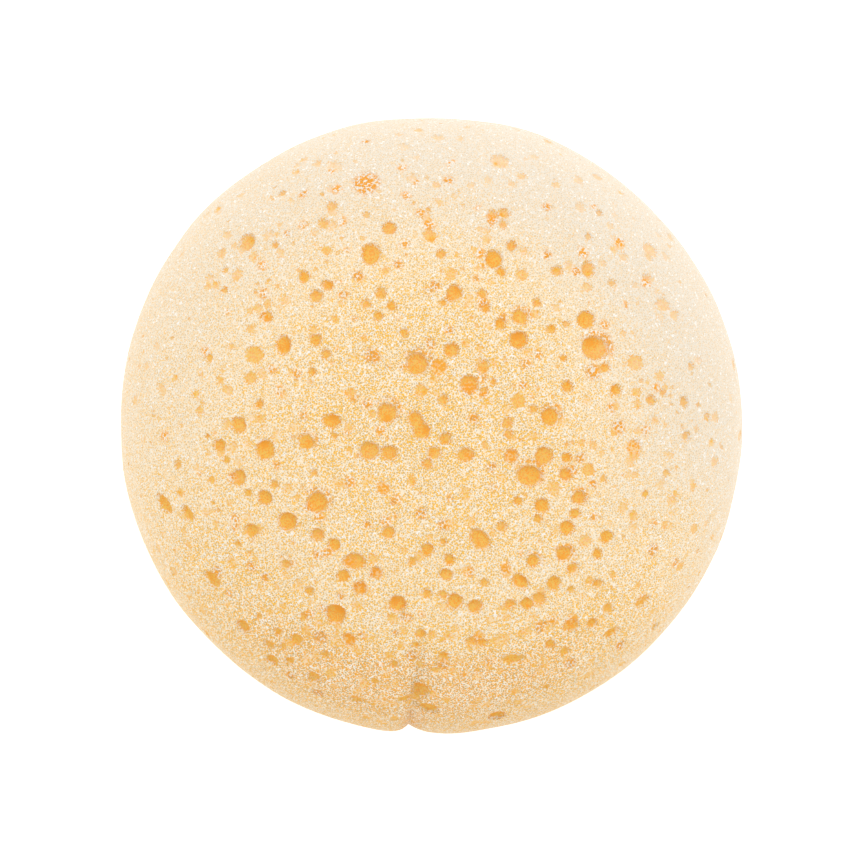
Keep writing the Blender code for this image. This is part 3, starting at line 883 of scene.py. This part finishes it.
# The laces: pale walls and open pores
bare = math_node(tree, "MULTIPLY_ADD", attributes["hollow"], -HOLLOW_BARE, 1.0)
lace_wall, lace_full, lace_strength = LACE_WALL
walls = range_node(tree, lace_pores.outputs["Open"], lace_wall, lace_full, 0, lace_strength)
walls = math_node(tree, "MULTIPLY", walls, math_node(tree, "MULTIPLY", attributes["lace"], bare))
foam_colour = blend_node(tree, walls, foam_colour, WHITE_WALL_AND_GLINT)
pores = range_node(tree, lace_pores.outputs["Open"], *LACE_OPEN)
pores = math_node(tree, "MULTIPLY", pores, attributes["lace"])
foam_colour = blend_node(tree, pores, foam_colour, UMBER)

# The finest pits, and the painted shade
pit_starts, pit_full, pit_depth = PIT_EDGE
pitted = range_node(tree, pits.outputs["Distance"], pit_starts, pit_full, 0, pit_depth)
pit_strength = math_node(tree, "MULTIPLY_ADD", attributes["tone_and_painted_light"], PIT_TONE, PIT_PLAIN)
pitted = math_node(tree, "MULTIPLY", math_node(tree, "MULTIPLY", pitted, pit_strength), bare)
foam_colour = blend_node(tree, pitted, foam_colour, FAWN)
foam_colour = blend_node(tree, attributes["shade"], foam_colour, SHADE_TINT, "MULTIPLY")
tree.links.new(foam_colour, finish.inputs["Base Color"])

relief = tree.nodes.new("ShaderNodeBump")
relief.inputs["Strength"].default_value = RELIEF_STRENGTH
relief.inputs["Distance"].default_value = RELIEF_DEPTH
tree.links.new(skin_cells.outputs["Height"], relief.inputs["Height"])
tree.links.new(relief.outputs["Normal"], finish.inputs["Normal"])
skin_mesh.materials.append(foam)
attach(sponge, "root")
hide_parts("sponge")


# The floor. A plain white board.
FLOOR_SIZE = 3
FLOOR_GAP = 0.0002      # keeps the board's face clear of the flat back
BOARD = (0.9, 0.9, 0.9, 1)
BOARD_ROUGHNESS = 0.8
BOARD_GLOW = 0.45       # brings the board up to the photograph's pure white
WHITE = (1, 1, 1, 1)
bpy.ops.mesh.primitive_plane_add(size=FLOOR_SIZE, location=(0, 0, -FLOOR_GAP))
floor = bpy.context.active_object
floor.name = "floor"
white = bpy.data.materials.new("white board")
white.use_nodes = True
board = white.node_tree.nodes["Principled BSDF"]
board.inputs["Base Color"].default_value = BOARD
board.inputs["Roughness"].default_value = BOARD_ROUGHNESS
board.inputs["Emission Color"].default_value = WHITE
board.inputs["Emission Strength"].default_value = BOARD_GLOW
floor.data.materials.append(white)


# The light. A white room and one wide lamp high on the photograph's upper side.
ROOM_LIGHT = 0.905
LAMP_SIZE = 0.5
LAMP_POWER = 1.9
LAMP_PLACE = (0.2, 0.59, 0.95)
LAMP_AIM = (0, 0, 0.03)
world = bpy.data.worlds.new("white room")
bpy.context.scene.world = world
world.use_nodes = True
world.node_tree.nodes["Background"].inputs["Color"].default_value = WHITE
world.node_tree.nodes["Background"].inputs["Strength"].default_value = ROOM_LIGHT
lamp_data = bpy.data.lights.new("wide lamp", "AREA")
lamp_data.shape = "DISK"
lamp_data.size = LAMP_SIZE
lamp_data.energy = LAMP_POWER
lamp = bpy.data.objects.new("wide lamp", lamp_data)
lamp.location = LAMP_PLACE
lamp.rotation_euler = (Vector(LAMP_AIM) - lamp.location).to_track_quat("-Z", "Y").to_euler()
bpy.context.collection.objects.link(lamp)


# The camera looks straight down from 1.1 m over the widest level, with the photograph's frame.
FRAME_PIXELS = 850
SENSOR = 36             # millimetres
camera_data = bpy.data.cameras.new("camera")
camera_data.sensor_width = SENSOR
camera_data.lens = SENSOR * VIEW_HEIGHT / (FRAME_PIXELS * PIXEL)
camera = bpy.data.objects.new("camera", camera_data)
across = (FRAME_PIXELS / 2 - PHOTO_CENTRE[0]) * PIXEL
up = (PHOTO_CENTRE[1] - FRAME_PIXELS / 2) * PIXEL
camera.location = (across, up, WAIST + VIEW_HEIGHT)
bpy.context.collection.objects.link(camera)
bpy.context.scene.camera = camera
bpy.context.scene.view_settings.view_transform = "Standard"
